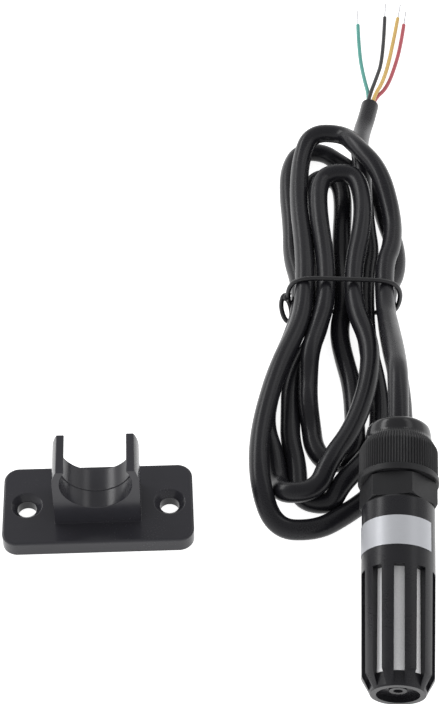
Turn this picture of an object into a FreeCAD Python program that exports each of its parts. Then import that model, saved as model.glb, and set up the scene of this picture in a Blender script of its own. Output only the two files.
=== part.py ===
import FreeCAD, Part
import math
import os

from FreeCAD import Matrix, Placement, Vector

# Humidity and temperature probe on a cable, with its clip bracket.
# Millimetres. The bracket stands at the origin with its underside on z = 0, its long side
# along X and its clip open upwards. The probe and the folded cable lie on the same table.

# Bracket plate
PLATE_WIDTH = 43.2
PLATE_DEPTH = 21.8
PLATE_THICKNESS = 4.0
PLATE_CORNER_RADIUS = 3.5
PLATE_EDGE_FILLET = 0.6
SCREW_SPACING = 32.4
SCREW_HOLE_RADIUS = 2.2
COUNTERSINK_RADIUS = 3.55
COUNTERSINK_DEPTH = 1.4

# Bracket clip
CLIP_DEPTH = 10.8
CLIP_WALL = 1.65
CLIP_LIFT = 5.5
CLIP_ARM_RISE = 4.55
CLIP_CLEARANCE = 0.05
CLIP_EDGE_FILLET = 0.25

# Slotted probe housing, measured from its tip
TUBE_RADIUS = 8.0
SHOULDER_RADIUS = 7.7
TIP_FACE_RADIUS = 5.85
TIP_CONE_LENGTH = 3.4
TIP_WALL = 3.2
TIP_RECESS_RADIUS = 4.6
TIP_RECESS_DEPTH = 1.4
TIP_NUB_RADIUS = 1.9
TIP_NUB_HOLE_RADIUS = 1.0
TIP_NUB_HEIGHT = 0.5
SLOT_COUNT = 10
SLOT_WIDTH = 2.25
SLOT_END = 26.5
NOTCH_START = 0.35
NOTCH_FLOOR_RADIUS = 6.0
HOUSING_LENGTH = 42.2
SLOT_ROLL = -2.5

# Label, placed from the housing's rear end
LABEL_FROM_REAR = 11.4
LABEL_HEIGHT = 6.8
LABEL_THICKNESS = 0.12
LABEL_FROM = -96.0
LABEL_TO = 56.0

# Cable gland
THREAD_RADIUS = 6.2
THREAD_CLEARANCE = 0.06
HOUSING_THREAD_LENGTH = 8.0
NUT_THREAD_LENGTH = 6.2
HEX_ACROSS_FLATS = 15.1
HEX_THICKNESS = 5.6
HEX_CHAMFER_RADIUS = 7.85
HEX_CHAMFER_HEIGHT = 0.5
HEX_ROLL = 15.6
GLAND_BORE_RADIUS = 3.5
GASKET_THICKNESS = 0.5
GASKET_RADIUS = 7.6
GASKET_GAP = 0.05
GASKET_FIT = 0.05

# Sealing nut
NUT_GAP = 0.1
FLANGE_RADIUS = 8.95
FLANGE_THICKNESS = 1.5
KNURL_RADIUS = 8.75
KNURL_DEPTH = 0.28
KNURL_COUNT = 84
KNURL_LENGTH = 6.6
KNURL_CONE_LENGTH = 1.9
DOME_RADIUS = 7.5
DOME_TAPER = 0.3
DOME_LENGTH = 4.2
DOME_ROUNDING = 1.3
DOME_RECESS_RADIUS = 5.4
DOME_RECESS_DEPTH = 0.6
NUT_MOUTH_RADIUS = 3.4
NUT_MOUTH_LENGTH = 1.6
NUT_CONE_FROM = 5.35
NUT_CONE_TO = 4.3

# Clamping claw and seal inside the nut
CLAW_FIT = 0.08
CLAW_BASE_RADIUS = 5.1
CLAW_BASE_DEPTH = 2.6
CLAW_WALL_AT_TIP = 0.75
CLAW_FINGER_COUNT = 8
CLAW_SLOT_WIDTH = 1.0
CLAW_CONE_GAP = 0.12
CLAW_TIP_GAP = 1.2
SEAL_WALL = 1.15
SEAL_FIT = 0.05
SEAL_END_GAP = 0.6

# Filter sleeve and circuit board
SLEEVE_FIT = 0.08
SLEEVE_WALL = 0.7
SLEEVE_END_GAP = 0.05
SLEEVE_PAST_SLOTS = 2.0
BOARD_FIT = 0.12
BOARD_THICKNESS = 1.0
BOARD_START = 5.5
BOARD_TO_GLAND = 3.25
CHIP_SIZE = 2.5
CHIP_HEIGHT = 0.93
CHIP_VENT_RADIUS = 0.2
CHIP_FROM_END = 17.0
BOARD_PARTS = (
    # distance from the board's soldered end, offset across it, length, width, height
    (11.0, -1.6, 3.0, 1.7, 1.1),
    (11.0, 2.2, 1.6, 0.8, 0.8),
    (6.5, 2.2, 1.6, 0.8, 0.8),
    (5.5, -1.8, 2.0, 1.25, 0.55),
)
PAD_PITCH = 2.45
PAD_FROM_END = 1.4
SOLDER_LENGTH = 1.3
SOLDER_WIDTH = 1.3

# Cable and its cores
CABLE_RADIUS = 2.4
CORE_RADIUS = 0.5
CORE_OFFSET = 0.68
JACKET_IN_GLAND = 1.65
NUT_MOUTH_INSET = 0.8
LEAD_RADIUS = 0.55
LEAD_OFFSET = 0.66
BARE_RADIUS = 0.24
BARE_LENGTH = 6.6

# Where the probe lies: its tip shoulder touches the table
PROBE_X = 62.5
PROBE_Y = -54.7
PROBE_YAW = 5.1
PROBE_TILT = 12.0

# Where the folded cable lies: the tie, and the turn of the hank's long axis from Y
TIE_X = 61.0
TIE_Y = 61.0
HANK_YAW = 4.5

# Heights of the two layers of cable, on the table and where the tie lifts them
LOW = CABLE_RADIUS
HIGH = 7.65
TIED_LOW = 3.9
TIED_HIGH = 9.15

# Places of the nine strands across the tie, from left to right in each layer
HIGH_STRANDS = (-9.9, -3.0, 3.3, 9.9)
LOW_STRANDS = (-10.7, -5.35, 0.0, 5.35, 10.7)

# The four turns of the hank. Each station is: across, along, height, heading in degrees
# from the across axis. A turn goes up the right, over the top, down the left and round
# the bottom, and starts and ends where the tie crosses it.
HANK_TURNS = (
    (
        (HIGH_STRANDS[3], 0.0, TIED_HIGH, 90),
        (11.9, 24.0, 8.6, 90),
        (5.4, 48.0, 13.3, 127),
        (-4.4, 57.0, 9.8, 180),
        (-11.7, 38.0, HIGH, 270),
        (HIGH_STRANDS[0], 0.0, TIED_HIGH, 270),
        (-17.6, -38.0, 7.9, 266),
        (-20.9, -52.0, 7.5, 272),
        (-9.9, -68.8, LOW, 0),
        (13.9, -36.0, LOW, 90),
    ),
    (
        (LOW_STRANDS[4], 0.0, TIED_LOW, 90),
        (12.9, 18.0, LOW, 90),
        (12.3, 36.0, LOW, 99),
        (0.0, 51.6, LOW, 140),
        (-8.0, 57.2, LOW, 180),
        (-13.6, 47.0, LOW, 270),
        (-13.0, 22.0, 2.6, 271),
        (LOW_STRANDS[0], 0.0, TIED_LOW, 270),
        (-16.5, -20.0, 2.5, 256),
        (-18.7, -38.0, LOW, 271),
        (-16.7, -53.0, 3.0, 276),
        (-9.4, -60.4, 7.2, 12),
        (0.2, -50.0, 8.8, 60),
        (5.8, -26.0, 8.8, 90),
    ),
    (
        (HIGH_STRANDS[2], 0.0, TIED_HIGH, 90),
        (4.3, 33.5, 10.5, 90),
        (-0.9, 39.0, 10.5, 180),
        (-6.2, 33.7, 9.3, 270),
        (HIGH_STRANDS[1], 0.0, TIED_HIGH, 270),
        (-6.6, -16.0, 8.6, 256),
        (-8.1, -32.0, 5.0, 270),
        (-6.9, -44.6, LOW, 270),
        (-2.0, -49.6, LOW, 0),
        (2.8, -44.6, LOW, 90),
    ),
    (
        (LOW_STRANDS[2], 0.0, TIED_LOW, 90),
        (2.35, 38.0, LOW, 90),
        (-2.6, 43.0, LOW, 180),
        (-7.6, 38.0, LOW, 270),
        (LOW_STRANDS[1], 0.0, TIED_LOW, 270),
        (-13.0, -34.0, LOW, 270),
        (-11.7, -48.1, LOW, 290),
        (-2.5, -56.9, LOW, 0),
        (5.6, -51.2, 5.9, 60),
        (8.4, -36.0, 2.9, 90),
    ),
)
HANK_END = (LOW_STRANDS[3], 0.0, TIED_LOW, 90)

# The cable from the gland to the tie, after its straight start along the probe's axis:
# across, along and height in the hank's own frame
CABLE_STRAIGHT = 14.0
RUN_POINTS = (
    (11.2, -29.0, 18.0),
    (10.5, -15.0, 12.0),
    (HIGH_STRANDS[3], -7.0, TIED_HIGH),
    (HIGH_STRANDS[3], 0.0, TIED_HIGH),
)

# The cable from the tie to its stripped end
TAIL_POINTS = (
    (LOW_STRANDS[3], 0.0, TIED_LOW),
    (LOW_STRANDS[3], 9.0, TIED_LOW),
    (7.6, 20.0, LOW),
    (7.5, 31.0, 2.6),
    (6.9, 40.0, 7.0),
    (5.3, 47.3, 8.3),
    (4.3, 55.5, 6.2),
    (5.4, 66.0, 2.9),
    (6.9, 72.5, LOW),
    (7.8, 77.6, LOW),
)

# The four stripped cores beyond the jacket: across, along and height of each bend
LEAD_POINTS = {
    "green": ((6.3, 91.5, 1.2), (5.2, 103.0, 0.6), (5.0, 115.7, 0.6)),
    "black": ((9.5, 88.5, 2.3), (12.0, 100.0, 0.9), (12.9, 119.6, 0.6)),
    "yellow": ((11.7, 88.5, 2.1), (14.2, 101.5, 0.8), (16.7, 119.4, 0.6)),
    "red": ((12.8, 86.8, 1.2), (15.7, 98.5, 0.6), (17.4, 108.0, 0.6), (18.4, 116.3, 0.6)),
}
LEAD_SIDES = {"green": (-1, -1), "black": (-1, 1), "yellow": (1, 1), "red": (1, -1)}
LEAD_START = 4.0

# Wire tie round the hank, with the twisted loop of its ends at the left
TIE_WIRE_RADIUS = 0.6
TIE_CLEARANCE = 0.2
TIE_TWIST_LENGTH = 3.4
TIE_TWIST_RADIUS = 1.0
TIE_LOOP_RADIUS = 2.1

# Share of the shorter run that each rounded corner of a route takes
CORNER_SHARE = 0.45

# Derived sizes
CLIP_BORE_RADIUS = TUBE_RADIUS + CLIP_CLEARANCE
CLIP_AXIS_HEIGHT = PLATE_THICKNESS + CLIP_LIFT + CLIP_BORE_RADIUS
CAVITY_RADIUS = THREAD_RADIUS + THREAD_CLEARANCE
HEX_START = HOUSING_LENGTH + GASKET_GAP + GASKET_THICKNESS
HEX_END = HEX_START + HEX_THICKNESS
GLAND_FOOT = HEX_START - HOUSING_THREAD_LENGTH
LABEL_START = HOUSING_LENGTH - LABEL_FROM_REAR
BOARD_END = GLAND_FOOT - BOARD_TO_GLAND
BOARD_LENGTH = BOARD_END - BOARD_START
JACKET_INNER_END = GLAND_FOOT + JACKET_IN_GLAND
NUT_START = HEX_END + NUT_GAP
KNURL_START = NUT_START + FLANGE_THICKNESS
CONE_START = KNURL_START + KNURL_LENGTH
DOME_START = CONE_START + KNURL_CONE_LENGTH
NUT_END = DOME_START + DOME_LENGTH
NUT_LENGTH = NUT_END - NUT_START
THREAD_END = HEX_END + NUT_THREAD_LENGTH
NUT_CONE_START = THREAD_END + NUT_GAP
NUT_CONE_END = NUT_END - NUT_MOUTH_LENGTH
CABLE_EXIT = NUT_END - NUT_MOUTH_INSET
CLAW_END = NUT_CONE_END - CLAW_TIP_GAP
SLEEVE_RADIUS = CAVITY_RADIUS - SLEEVE_FIT
SLEEVE_BORE = SLEEVE_RADIUS - SLEEVE_WALL
SEAL_BORE = CABLE_RADIUS + SEAL_FIT
SEAL_RADIUS = SEAL_BORE + SEAL_WALL


def radial_frame(origin, axis, up):
    """Placement that takes local Z to axis and local X to up."""
    side = axis.cross(up)
    matrix = Matrix(
        up.x, side.x, axis.x, origin.x,
        up.y, side.y, axis.y, origin.y,
        up.z, side.z, axis.z, origin.z,
        0, 0, 0, 1,
    )
    return Placement(matrix)


def probe_placement():
    """The probe rests on the shoulder of its tip, with the gland end raised."""
    yaw = math.radians(PROBE_YAW)
    tilt = math.radians(PROBE_TILT)
    flat = Vector(math.sin(yaw), math.cos(yaw), 0)
    axis = flat * math.cos(tilt) + Vector(0, 0, math.sin(tilt))
    up = flat * -math.sin(tilt) + Vector(0, 0, math.cos(tilt))
    height = SHOULDER_RADIUS * math.cos(tilt) - TIP_CONE_LENGTH * math.sin(tilt)
    return radial_frame(Vector(PROBE_X, PROBE_Y, height), axis, up)


PROBE = probe_placement()


def on_probe(shape):
    """Put a piece made along local Z where the probe lies."""
    return shape.transformed(PROBE.toMatrix())


def hank_point(across, along, height):
    """A point of the folded cable in the table's frame."""
    yaw = math.radians(HANK_YAW)
    x = TIE_X + across * math.cos(yaw) + along * math.sin(yaw)
    y = TIE_Y - across * math.sin(yaw) + along * math.cos(yaw)
    return Vector(x, y, height)


def hank_heading(degrees):
    """A level direction of the folded cable in the table's frame."""
    angle = math.radians(degrees - HANK_YAW)
    return Vector(math.cos(angle), math.sin(angle), 0)


def polygon(points):
    return Part.makePolygon([Vector(*p) for p in points] + [Vector(*points[0])])


def turned(profile):
    """Revolve a closed profile of (radius, height) pairs about local Z."""
    face = Part.Face(polygon([(r, 0, z) for r, z in profile]))
    return face.revolve(Vector(0, 0, 0), Vector(0, 0, 1), 360)


def ring(outer, inner, start, end):
    return turned([(inner, start), (outer, start), (outer, end), (inner, end)])


def rolled(shape, degrees):
    """Turn a copy of a shape about local Z."""
    copy = shape.copy()
    copy.rotate(Vector(0, 0, 0), Vector(0, 0, 1), degrees)
    return copy


def section(centre, direction, radius):
    circle = Part.makeCircle(radius, centre, direction)
    return Part.Wire([circle])


def swept(edges, radius, name):
    """Sweep a round section along joined edges and compare the volume."""
    spine = Part.Wire(edges)
    start = edges[0].firstVertex(True).Point
    direction = edges[0].tangentAt(edges[0].FirstParameter)
    if (edges[0].valueAt(edges[0].FirstParameter) - start).Length > 1e-6:
        direction = edges[0].tangentAt(edges[0].LastParameter) * -1
    tube = spine.makePipeShell([section(start, direction, radius)], True, False)
    if not tube.isValid() or tube.Volume < 0:
        tube.fix(1e-6, 1e-6, 1e-5)
    expected = math.pi * radius ** 2 * spine.Length
    print("%s: length %.1f, volume %.4f of section times length" % (
        name, spine.Length, tube.Volume / expected))
    return tube


def rounded_route(points, name):
    """Straight runs joined by tangent arcs, each as large as its two runs allow."""
    edges = []
    radii = []
    here = points[0]
    for before, corner, after in zip(points, points[1:], points[2:]):
        run_in = corner - before
        run_out = after - corner
        way_in = Vector(run_in).normalize()
        way_out = Vector(run_out).normalize()
        half_turn = way_in.getAngle(way_out) / 2
        setback = CORNER_SHARE * min(run_in.Length, run_out.Length)
        radius = setback / math.tan(half_turn)
        radii.append(radius)
        start = corner - way_in * setback
        end = corner + way_out * setback
        bisector = (way_out - way_in).normalize()
        rise = radius / math.cos(half_turn) - radius
        middle = corner + bisector * rise
        edges.append(Part.LineSegment(here, start).toShape())
        edges.append(Part.Arc(start, middle, end).toShape())
        here = end
    edges.append(Part.LineSegment(here, points[-1]).toShape())
    if radii:
        print("%s: bend radii %s" % (name, ", ".join("%.1f" % r for r in radii)))
    return edges


def arc_between(start, direction, end):
    """The arc that leaves start along direction and meets end."""
    chord = end - start
    along = Vector(chord).normalize()
    angle = direction.getAngle(along)
    if angle < 1e-5:
        return Part.LineSegment(start, end).toShape(), math.inf
    normal = (direction - along * direction.dot(along)).normalize()
    middle = (start + end) * 0.5 + normal * (chord.Length / 2 * math.tan(angle / 2))
    return Part.Arc(start, middle, end).toShape(), chord.Length / (2 * math.sin(angle))


def biarc(start, way_in, end, way_out):
    """Two arcs that join two points along two directions, with equal tangents."""
    chord = end - start
    slope = chord.dot(way_in + way_out)
    spread = 2 * (1 - way_in.dot(way_out))
    reach = chord.dot(chord)
    if spread < 1e-9:
        tangent = reach / (4 * chord.dot(way_out))
    else:
        tangent = (math.sqrt(slope ** 2 + spread * reach) - slope) / spread
    corner_in = start + way_in * tangent
    corner_out = end - way_out * tangent
    middle = (corner_in + corner_out) * 0.5
    way_middle = (corner_out - corner_in).normalize()
    first, first_radius = arc_between(start, way_in, middle)
    second, second_radius = arc_between(middle, way_middle, end)
    return [first, second], min(first_radius, second_radius)


def least_gap(edges, radius, spacing=1.0):
    """Least gap between stretches of one tube that are not neighbours along it."""
    points = []
    travelled = 0.0
    for edge in edges:
        steps = max(2, math.ceil(edge.Length / spacing))
        for step, point in enumerate(edge.discretize(steps + 1)[:-1]):
            points.append((travelled + edge.Length * step / steps, point.x, point.y, point.z))
        travelled += edge.Length
    apart = 8 * radius
    least = math.inf
    for i, (place, x, y, z) in enumerate(points):
        for other, ox, oy, oz in points[i + 1:]:
            if other - place > apart:
                least = min(least, (x - ox) ** 2 + (y - oy) ** 2 + (z - oz) ** 2)
    return math.sqrt(least) - 2 * radius


def bracket():
    """Base plate with two countersunk holes, and a clip that the probe snaps into."""
    half_width = PLATE_WIDTH / 2
    half_depth = PLATE_DEPTH / 2
    plate = Part.makeBox(PLATE_WIDTH, PLATE_DEPTH, PLATE_THICKNESS,
                         Vector(-half_width, -half_depth, 0))
    upright = [e for e in plate.Edges if abs(e.tangentAt(e.FirstParameter).z) > 0.9]
    plate = plate.makeFillet(min(PLATE_CORNER_RADIUS, half_depth * 0.9), upright)
    rim = [e for e in plate.Edges if e.BoundBox.ZMin > PLATE_THICKNESS - 1e-4]
    plate = plate.makeFillet(min(PLATE_EDGE_FILLET, PLATE_THICKNESS * 0.4), rim)

    outer = CLIP_BORE_RADIUS + CLIP_WALL
    rise = min(CLIP_ARM_RISE, CLIP_BORE_RADIUS * 0.9)
    top = CLIP_AXIS_HEIGHT + rise
    outer_top = math.sqrt(outer ** 2 - rise ** 2)
    inner_top = math.sqrt(CLIP_BORE_RADIUS ** 2 - rise ** 2)
    front = -CLIP_DEPTH / 2
    foot = PLATE_THICKNESS / 2

    def at(x, z):
        return Vector(x, front, z)

    def on_circle(radius, degrees):
        angle = math.radians(degrees)
        return at(radius * math.cos(angle), CLIP_AXIS_HEIGHT + radius * math.sin(angle))

    lean = math.degrees(math.asin(rise / outer)) / 2
    edges = [
        Part.LineSegment(at(-outer, foot), at(outer, foot)),
        Part.LineSegment(at(outer, foot), at(outer, CLIP_AXIS_HEIGHT)),
        Part.Arc(at(outer, CLIP_AXIS_HEIGHT), on_circle(outer, lean), at(outer_top, top)),
        Part.LineSegment(at(outer_top, top), at(inner_top, top)),
        Part.Arc(at(inner_top, top), on_circle(CLIP_BORE_RADIUS, -90), at(-inner_top, top)),
        Part.LineSegment(at(-inner_top, top), at(-outer_top, top)),
        Part.Arc(at(-outer_top, top), on_circle(outer, 180 - lean),
                 at(-outer, CLIP_AXIS_HEIGHT)),
        Part.LineSegment(at(-outer, CLIP_AXIS_HEIGHT), at(-outer, foot)),
    ]
    profile = Part.Wire([e.toShape() for e in edges])
    clip = Part.Face(profile).extrude(Vector(0, CLIP_DEPTH, 0))
    tips = [e for e in clip.Edges
            if e.BoundBox.ZMin > top - 1e-4 and e.BoundBox.YLength > CLIP_DEPTH / 2]
    clip = clip.makeFillet(min(CLIP_EDGE_FILLET, CLIP_WALL / 4), tips)
    body = plate.fuse(clip)

    sink_top = PLATE_THICKNESS + 1
    for side in (-1, 1):
        hole = turned([
            (0, -1), (SCREW_HOLE_RADIUS, -1),
            (SCREW_HOLE_RADIUS, PLATE_THICKNESS - COUNTERSINK_DEPTH),
            (COUNTERSINK_RADIUS, PLATE_THICKNESS),
            (COUNTERSINK_RADIUS, sink_top), (0, sink_top),
        ])
        hole.translate(Vector(side * SCREW_SPACING / 2, 0, 0))
        body = body.cut(hole)
    return body.removeSplitter()


def sensor_housing():
    """Tube with a coned tip, ten long slots and a threaded socket for the gland."""
    shell = turned([
        (0, 0), (TIP_FACE_RADIUS, 0), (SHOULDER_RADIUS, TIP_CONE_LENGTH),
        (TUBE_RADIUS, SLOT_END), (TUBE_RADIUS, HOUSING_LENGTH), (0, HOUSING_LENGTH),
    ])
    shell = shell.cut(Part.makeCylinder(CAVITY_RADIUS, HOUSING_LENGTH, Vector(0, 0, TIP_WALL)))
    shell = shell.cut(Part.makeCylinder(TIP_RECESS_RADIUS, TIP_RECESS_DEPTH))
    nub_start = TIP_RECESS_DEPTH - TIP_NUB_HEIGHT
    shell = shell.fuse(ring(TIP_NUB_RADIUS, TIP_NUB_HOLE_RADIUS, nub_start, TIP_RECESS_DEPTH))
    cuts = []
    for index in range(SLOT_COUNT):
        slot = Part.makeBox(TUBE_RADIUS, SLOT_WIDTH, SLOT_END - TIP_WALL,
                            Vector(SLEEVE_BORE, -SLOT_WIDTH / 2, TIP_WALL))
        notch = Part.makeBox(TUBE_RADIUS, SLOT_WIDTH, TIP_WALL - NOTCH_START + 0.1,
                             Vector(NOTCH_FLOOR_RADIUS, -SLOT_WIDTH / 2, NOTCH_START))
        cut = slot.fuse(notch)
        cuts.append(rolled(cut, SLOT_ROLL + index * 360 / SLOT_COUNT))
    return shell.cut(Part.makeCompound(cuts))


def label():
    """Bare sticker wrapped part of the way round the housing."""
    outline = polygon([
        (TUBE_RADIUS, 0, LABEL_START), (TUBE_RADIUS + LABEL_THICKNESS, 0, LABEL_START),
        (TUBE_RADIUS + LABEL_THICKNESS, 0, LABEL_START + LABEL_HEIGHT),
        (TUBE_RADIUS, 0, LABEL_START + LABEL_HEIGHT),
    ])
    patch = Part.Face(outline).revolve(Vector(0, 0, 0), Vector(0, 0, 1), LABEL_TO - LABEL_FROM)
    return rolled(patch, LABEL_FROM)


def gasket():
    """Flat rubber ring on the lower thread, between the housing and the hexagon."""
    start = HOUSING_LENGTH + GASKET_GAP
    return ring(GASKET_RADIUS, THREAD_RADIUS + GASKET_FIT, start, start + GASKET_THICKNESS)


def gland_body():
    """Hexagon with a thread on each side, a cable bore and a seat for the claw."""
    corner = HEX_ACROSS_FLATS / math.sqrt(3)
    points = [(corner * math.cos(math.radians(60 * k + HEX_ROLL)),
               corner * math.sin(math.radians(60 * k + HEX_ROLL)), HEX_START)
              for k in range(6)]
    hexagon = Part.Face(polygon(points)).extrude(Vector(0, 0, HEX_THICKNESS))
    rounding = turned([
        (0, HEX_START), (HEX_CHAMFER_RADIUS, HEX_START),
        (corner, HEX_START + HEX_CHAMFER_HEIGHT), (corner, HEX_END - HEX_CHAMFER_HEIGHT),
        (HEX_CHAMFER_RADIUS, HEX_END), (0, HEX_END),
    ])
    body = hexagon.common(rounding)
    threads = Part.makeCylinder(THREAD_RADIUS, THREAD_END - GLAND_FOOT,
                                Vector(0, 0, GLAND_FOOT))
    body = body.fuse(threads)
    body = body.cut(Part.makeCylinder(GLAND_BORE_RADIUS, NUT_END))
    seat = Part.makeCylinder(CLAW_BASE_RADIUS + CLAW_FIT, NUT_END,
                             Vector(0, 0, THREAD_END - CLAW_BASE_DEPTH))
    return body.cut(seat).removeSplitter()


def toothed_outline(crest, height):
    """Closed outline with one crest and one root for each rib of the knurl."""
    points = []
    for index in range(2 * KNURL_COUNT):
        radius = crest if index % 2 == 0 else crest - KNURL_DEPTH
        angle = math.pi * index / KNURL_COUNT
        points.append((radius * math.cos(angle), radius * math.sin(angle), height))
    return polygon(points)


def sealing_nut():
    """Domed nut with a flange and fine ribs along its side and its cone."""
    side = Part.Face(toothed_outline(KNURL_RADIUS, KNURL_START))
    side = side.extrude(Vector(0, 0, KNURL_LENGTH))
    cone = Part.makeLoft([
        toothed_outline(KNURL_RADIUS, CONE_START),
        toothed_outline(DOME_RADIUS + KNURL_DEPTH, DOME_START),
    ], True, True)
    flange = ring(FLANGE_RADIUS, CAVITY_RADIUS, NUT_START, KNURL_START)
    rounding = min(DOME_ROUNDING, DOME_LENGTH * 0.6)
    shoulder = NUT_END - rounding
    steps = [math.radians(30 * k) for k in range(4)]
    crown = DOME_RADIUS - DOME_TAPER - rounding
    dome_curve = [(crown + rounding * math.cos(a), shoulder + rounding * math.sin(a))
                  for a in steps]
    dome = turned([(0, CONE_START), (DOME_RADIUS, CONE_START), (DOME_RADIUS, DOME_START)]
                  + dome_curve + [(0, NUT_END)])
    nut = side.fuse([cone, flange, dome])
    thread_bore = Part.makeCylinder(CAVITY_RADIUS, NUT_CONE_START - NUT_START + 1,
                                    Vector(0, 0, NUT_START - 1))
    recess = NUT_END - DOME_RECESS_DEPTH
    recess_radius = min(DOME_RECESS_RADIUS, crown - 0.2)
    inner = turned([
        (0, NUT_CONE_START - 1), (NUT_CONE_FROM, NUT_CONE_START - 1),
        (NUT_CONE_FROM, NUT_CONE_START), (NUT_CONE_TO, NUT_CONE_END),
        (NUT_MOUTH_RADIUS, NUT_CONE_END), (NUT_MOUTH_RADIUS, recess), (recess_radius, recess),
        (recess_radius, NUT_END + 1), (0, NUT_END + 1),
    ])
    return nut.cut(thread_bore.fuse(inner))


def claw_outer(height):
    """Outer radius of the claw: a named gap inside the nut's inner cone."""
    share = (height - NUT_CONE_START) / (NUT_CONE_END - NUT_CONE_START)
    cone = NUT_CONE_FROM + (NUT_CONE_TO - NUT_CONE_FROM) * share
    return min(cone - CLAW_CONE_GAP, CLAW_BASE_RADIUS)


def clamp_claw():
    """Split ring of fingers that the nut closes on the seal."""
    base = THREAD_END - CLAW_BASE_DEPTH + CLAW_FIT
    bore = SEAL_RADIUS + SEAL_FIT
    claw = turned([
        (bore, base), (CLAW_BASE_RADIUS, base), (CLAW_BASE_RADIUS, THREAD_END),
        (claw_outer(NUT_CONE_START), NUT_CONE_START), (claw_outer(CLAW_END), CLAW_END),
        (min(bore, claw_outer(CLAW_END) - CLAW_WALL_AT_TIP / 2), CLAW_END),
    ])
    slots = []
    for index in range(CLAW_FINGER_COUNT // 2):
        slot = Part.makeBox(4 * CLAW_BASE_RADIUS, CLAW_SLOT_WIDTH, NUT_LENGTH,
                            Vector(-2 * CLAW_BASE_RADIUS, -CLAW_SLOT_WIDTH / 2, THREAD_END))
        slots.append(rolled(slot, 360 / CLAW_FINGER_COUNT * index))
    return claw.cut(Part.makeCompound(slots))


def seal_bush():
    """Rubber sleeve round the cable, inside the claw."""
    base = THREAD_END - CLAW_BASE_DEPTH + CLAW_FIT
    return ring(SEAL_RADIUS, SEAL_BORE, base, CLAW_END - SEAL_END_GAP)


def filter_sleeve():
    """Pale porous sleeve that shows through the slots."""
    start = TIP_WALL + SLEEVE_END_GAP
    return ring(SLEEVE_RADIUS, SLEEVE_BORE, start, SLOT_END + SLEEVE_PAST_SLOTS)


def board_half_width():
    reach = SLEEVE_BORE - BOARD_FIT
    return math.sqrt(reach ** 2 - (BOARD_THICKNESS / 2) ** 2)


def circuit_board():
    half = board_half_width()
    return Part.makeBox(BOARD_THICKNESS, 2 * half, BOARD_LENGTH,
                        Vector(-BOARD_THICKNESS / 2, -half, BOARD_START))


def on_board(length, width, height, from_end, across):
    """A block that stands on the board's upper face."""
    return Part.makeBox(height, width, length, Vector(
        BOARD_THICKNESS / 2, across - width / 2, BOARD_END - from_end - length / 2))


def sensor_chip():
    """Square metal-lidded sensor with its small vent hole."""
    chip = on_board(CHIP_SIZE, CHIP_SIZE, CHIP_HEIGHT, CHIP_FROM_END, 0)
    vent = Part.makeCylinder(
        CHIP_VENT_RADIUS, CHIP_HEIGHT,
        Vector(BOARD_THICKNESS / 2 + CHIP_HEIGHT / 2, CHIP_SIZE / 4,
               BOARD_END - CHIP_FROM_END - CHIP_SIZE / 4), Vector(1, 0, 0))
    return chip.cut(vent)


def board_parts():
    """Regulator and small passive parts, each a block on the board."""
    return Part.makeCompound([on_board(length, width, height, from_end, across)
                              for from_end, across, length, width, height in BOARD_PARTS])


def pad_offset(index):
    return (index - 1.5) * PAD_PITCH


def pad_end():
    return BOARD_END - PAD_FROM_END


def solder_joints():
    """One solder joint in front of the end of each inner core."""
    joints = []
    for index in range(4):
        low = BOARD_THICKNESS / 2
        high = low + 2 * CORE_RADIUS
        half = SOLDER_WIDTH / 2
        across = pad_offset(index)
        outline = polygon([
            (low, across - half, pad_end()), (low, across + half, pad_end()),
            (high, across + CORE_RADIUS, pad_end()), (high, across - CORE_RADIUS, pad_end()),
        ])
        front = polygon([
            (low, across - half, pad_end() - SOLDER_LENGTH),
            (low, across + half, pad_end() - SOLDER_LENGTH),
            (low + CORE_RADIUS / 2, across + CORE_RADIUS, pad_end() - SOLDER_LENGTH),
            (low + CORE_RADIUS / 2, across - CORE_RADIUS, pad_end() - SOLDER_LENGTH),
        ])
        joints.append(Part.makeLoft([outline, front], True, True))
    return Part.makeCompound(joints)


def inner_wire(index, name):
    """One core from the end of the jacket to its solder joint."""
    rest = BOARD_THICKNESS / 2 + CORE_RADIUS
    high = CORE_OFFSET if index in (1, 2) else -CORE_OFFSET
    across = CORE_OFFSET if index > 1 else -CORE_OFFSET
    leave = JACKET_INNER_END - 1.3
    points = [
        Vector(high, across, JACKET_INNER_END),
        Vector(high, across, leave),
        Vector(rest, pad_offset(index), BOARD_END + 0.9),
        Vector(rest, pad_offset(index), pad_end()),
    ]
    return swept(rounded_route(points, name), CORE_RADIUS, name)


def cable_inlet():
    """The jacketed cable where the gland holds it."""
    return Part.makeCylinder(CABLE_RADIUS, CABLE_EXIT - JACKET_INNER_END,
                             Vector(0, 0, JACKET_INNER_END))


def cable_run():
    """The cable from the gland's mouth to the tie."""
    start = PROBE.multVec(Vector(0, 0, CABLE_EXIT))
    straight = PROBE.multVec(Vector(0, 0, CABLE_EXIT + CABLE_STRAIGHT))
    points = [start, straight] + [hank_point(*p) for p in RUN_POINTS]
    return swept(rounded_route(points, "cable_run"), CABLE_RADIUS, "cable_run")


def cable_hank():
    """Four turns of cable folded long and drawn in at the tie, in one unbroken tube."""
    stations = [s for turn in HANK_TURNS for s in turn] + [HANK_END]
    points = [hank_point(*s[:3]) for s in stations]
    ways = [hank_heading(s[3]) for s in stations]
    lead = 2 * CABLE_RADIUS
    edges = [Part.LineSegment(points[0], points[0] + ways[0] * lead).toShape()]
    points[0] = points[0] + ways[0] * lead
    end = points[-1]
    points[-1] = end - ways[-1] * lead
    tightest = math.inf
    for i in range(len(points) - 1):
        arcs, radius = biarc(points[i], ways[i], points[i + 1], ways[i + 1])
        edges.extend(arcs)
        tightest = min(tightest, radius)
    edges.append(Part.LineSegment(points[-1], end).toShape())
    print("cable_hank: tightest bend %.1f, least gap to itself %.2f" % (
        tightest, least_gap(edges, CABLE_RADIUS)))
    return swept(edges, CABLE_RADIUS, "cable_hank")


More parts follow.
